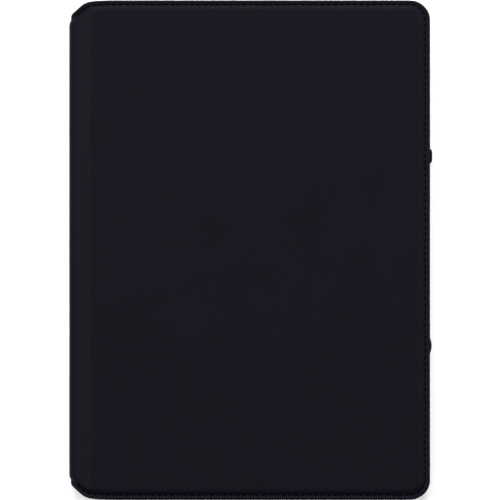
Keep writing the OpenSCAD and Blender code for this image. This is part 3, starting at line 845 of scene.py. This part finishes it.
def grain_of_thread(sheet, centre, heading, inner, vertices, faces):
    """One stitch: a tube of rings, thin at the ends and swollen in the middle."""
    heading += random.uniform(-0.05, 0.05)
    along = np.array([math.cos(heading), math.sin(heading)])
    side = np.array([-along[1], along[0]])
    base = len(vertices)
    for t in np.linspace(-1, 1, RINGS):
        swell = math.sqrt(max(0.0, 1 - t * t)) * 0.85 + 0.15 * (abs(t) < 1)
        for k in range(RING_POINTS):
            a = 2 * math.pi * k / RING_POINTS
            q = centre + along * t * GRAIN / 2 + side * math.cos(a) * GRAIN_HALF * swell
            lift = (math.sin(a) * GRAIN_LIFT * swell + GRAIN_ARCH * (1 - t * t) - GRAIN_SINK) * MM
            deep = float(sheet.thickness(q[0]))
            vertices.append(sheet.place(q[0], q[1], -deep - lift if inner else lift))
    faces += tube_faces(RINGS, RING_POINTS, base)


def clear_of_strap(y):
    """Whether a stitch at this height of the opening edge misses the strap."""
    return abs(y - STRAP_Y) > STRAP_HALF + GRAIN / 2


def seam_threads(name, sheet, keep=lambda y: True):
    """All stitches of one cover as one piece, mirrored to its lower half, and how many there are."""
    line = seam_line(sheet)
    at = np.concatenate([[0], np.cumsum(np.hypot(*np.diff(line, axis=0).T))])
    vertices, faces = [], []
    for i in range(int(at[-1] / PITCH)):
        s = (i + 0.5) * PITCH
        q = np.array([np.interp(s, at, line[:, 0]), np.interp(s, at, line[:, 1])])
        ahead = s + 0.5 * MM
        r = np.array([np.interp(ahead, at, line[:, 0]), np.interp(ahead, at, line[:, 1])]) - q
        for sign in (1, -1):
            if keep(q[1]):
                turn = math.atan2(r[1] * sign, r[0])
                for inner in (False, True):
                    grain_of_thread(sheet, q * (1, sign), turn, inner, vertices, faces)
    return new_piece(name, vertices, faces, thread), len(vertices) // (2 * RINGS * RING_POINTS)


front_thread, made = seam_threads("front_seam_thread", front_sheet)
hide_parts("front_stitches")
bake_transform(front_thread)
back_thread, made_back = seam_threads("back_seam_thread", back_sheet, clear_of_strap)
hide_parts("back_stitches")
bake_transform(back_thread)
print("stitches", made, "and", made_back)

# %% [markdown]
# ## The elastic strap
# A flat woven elastic, 7 mm wide: its tails are sewn under the lining, it comes out at the opening
# edge, wraps round it and lies in the channel of the back. Along its length run fine ribs with rounded
# selvedges. It is swept along its path as a ribbon with a ribbed section. The part that turns about
# the opening edge and the part that folds at the knee are separate pieces.

# %% Ribbon helper
RIBS = 9
RIB_HEIGHT = 0.055 * MM
SELVEDGE = 0.12  # share of the half width over which the ribbon's sides thin out


def ribbon_section(width, thickness, crown=0.0, power=4):
    """Points round a ribbed ribbon's section: across, and up. A crown draws the upper face's sides down."""
    pts = []
    n = RIBS * 4
    for side in (1, -1):
        for k in range(n + 1):
            u = -1 + 2 * k / n
            edge = math.sqrt(max(0.0, 1 - max(0.0, (abs(u) - 1 + SELVEDGE) / SELVEDGE) ** 2))
            rib = RIB_HEIGHT * math.cos(math.pi * RIBS * (u + 1))
            up = (thickness / 2 - RIB_HEIGHT + rib) * (0.25 + 0.75 * edge)
            fall = crown * abs(u) ** power if side > 0 else 0
            pts.append((side * u * width / 2, side * up - fall))
    return pts


def ribbon(name, path, ups, crowns, power):
    """Sweeps the section along points, lying across Y; ups are its normals and crowns its swell there."""
    vertices = []
    for q, up, crown in zip(path, ups, crowns):
        q, up = np.array(q), np.array(up) / np.linalg.norm(up)
        section = ribbon_section(2 * STRAP_HALF, STRAP_T, crown, power)
        vertices += [q + np.array((0, 1, 0)) * a + up * b for a, b in section]
    return new_piece(name, vertices, tube_faces(len(path), len(section)), elastic)


# %% The strap's two edge wraps
wrap_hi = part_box("strap_wraps")[1]
TAIL_Z = (tail_lo.z + tail_hi.z) / 2
WRAP_X = wrap_hi.x - STRAP_T / 2
TURN_R = 0.3 * MM + STRAP_T / 2  # radius of the middle line where the strap turns round the edge
CROWN = 0.62 * MM  # how far the wrap's sides fall below its middle
SLIP_FROM, SLIP_TO = WRAP_X - 7 * MM, WRAP_X - 1.5 * MM  # where a wrap slips sideways
mid_leg = (leg_lo.x + leg_hi.x) / 2


def wrap_path():
    """From the sewn tail out round the edge to the middle of the leg: points and normals in X and Z."""
    x_turn, z_high, z_low = WRAP_X - TURN_R, TAIL_Z - TURN_R, STRAP_Z + TURN_R
    quarter = np.linspace(0, math.pi / 2, 9)[1:]
    path = [(x, TAIL_Z, 0, 1) for x in spaced(tail_lo.x, x_turn, 1 * MM)]
    path += [(x_turn + TURN_R * math.sin(a), z_high + TURN_R * math.cos(a), math.sin(a), math.cos(a))
             for a in quarter]
    path += [(WRAP_X, z, 1, 0) for z in spaced(z_high, z_low, 0.5 * MM)[1:]]
    path += [(x_turn + TURN_R * math.cos(a), z_low - TURN_R * math.sin(a), math.cos(a), -math.sin(a))
             for a in quarter]
    path += [(x, STRAP_Z, 0, -1) for x in spaced(x_turn, mid_leg, 0.6 * MM)[1:]]
    return path


# Over the edge the ribbon bows out: one wrap keeps a flat middle, the other gathers to a peak, lies
# closer and has slipped a little sideways where it turns
for label, sign, power, slip, bow in (
        ("top", 1, 5, 0, 0.35 * MM), ("bottom", -1, 2, BOTTOM_SLIP, 0.10 * MM)):
    route = wrap_path()
    wrap = ribbon(f"strap_wrap_{label}",
                  [(x + bow * max(0, nx) ** 2,
                    sign * STRAP_Y + slip * float(ramp(x, SLIP_FROM, SLIP_TO)), z)
                   for x, z, nx, _ in route],
                  [(nx, 0, nz) for _, _, nx, nz in route],
                  [CROWN * max(0, nx) ** 2 for _, _, nx, _ in route], power)
    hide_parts("strap_wraps", "strap_tails", f"strap_leg_{label}")
    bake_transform(wrap)

# %% [markdown]
# The loop is one ribbon with two mitred corners: on the real strap the band's ends are folded at 45
# degrees and sewn over the legs. The ribbon is swept along the U with its corners rounded in plan.

# %% The strap's loop
def loop_plan():
    """Points (x, y) and headings of the U, from the middle of one leg to the middle of the other."""
    turn = STRAP_HALF + 0.2 * MM
    x_turn, y_turn = X_BAND + turn, STRAP_Y - turn
    quarter = np.linspace(0, math.pi / 2, 13)[1:]
    plan = [(x, STRAP_Y, math.pi) for x in spaced(mid_leg, x_turn, 0.6 * MM)]
    plan += [(x_turn - turn * math.sin(a), y_turn + turn * math.cos(a), math.pi + a) for a in quarter]
    plan += [(X_BAND, y, 1.5 * math.pi) for y in spaced(y_turn, -y_turn, 2 * MM)[1:]]
    plan += [(x_turn - turn * math.cos(a), -y_turn - turn * math.sin(a), 1.5 * math.pi + a) for a in quarter]
    plan += [(x, -STRAP_Y, 2 * math.pi) for x in spaced(x_turn, mid_leg, 0.6 * MM)[1:]]
    return plan


plan, section = loop_plan(), ribbon_section(2 * STRAP_HALF, STRAP_T)
loop_points = [(x - math.sin(heading) * a, y + math.cos(heading) * a, STRAP_Z + b)
               for x, y, heading in plan for a, b in section]
strap_loop = new_piece("strap_loop_elastic", loop_points, tube_faces(len(plan), len(section)), elastic)
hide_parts("strap_loop", "strap_knees", "strap_mitres")
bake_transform(strap_loop)
print("strap loop", len(strap_loop.data.vertices), "points")

# %% [markdown]
# ## The board in the spine
# A strip of grey board stiffens the spine between its leather and its cloth. It is cut a little shorter
# than the leather, which is turned over its ends, so nothing of it shows. A bevelled box is enough.

# %% Spine board
BOARD_SHORTER = Vector((0, 1 * MM, 0))  # at each end
board_lo, board_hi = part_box("spine_board")
board_mesh = bpy.data.meshes.new("spine_board_strip")
work = bmesh.new()
bmesh.ops.create_cube(work, size=1)
bmesh.ops.scale(work, verts=work.verts, vec=board_hi - board_lo - 2 * BOARD_SHORTER)
bmesh.ops.bevel(work, geom=list(work.edges), offset=0.15 * MM, segments=2, affect="EDGES")
bmesh.ops.translate(work, verts=work.verts, vec=(board_lo + board_hi) / 2)
work.to_mesh(board_mesh)
work.free()
board_mesh.materials.append(board)
board_strip = bpy.data.objects.new("spine_board_strip", board_mesh)
bpy.context.collection.objects.link(board_strip)
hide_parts("spine_board")
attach(board_strip, "spine")

# %% [markdown]
# ## Hard parts and inner layers
# The tray, its pad, the trim ring and the hidden layers are right as the CAD made them. They keep
# their shape and get real finishes.

# %% Finishes for the CAD nodes
KEPT = {
    "tray": tray_plastic, "tray_pad": pad_cloth, "camera_ring": ring_plastic, "tray_bond": adhesive,
    "back_foam": foam, "front_foam": foam, "back_board": board, "front_board": board,
    "sleep_magnets": magnet, "tail_stitches": thread,
}
for node_name, material in KEPT.items():
    for material_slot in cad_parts[node_name].material_slots:
        material_slot.material = material
print("finished CAD nodes", len(KEPT))
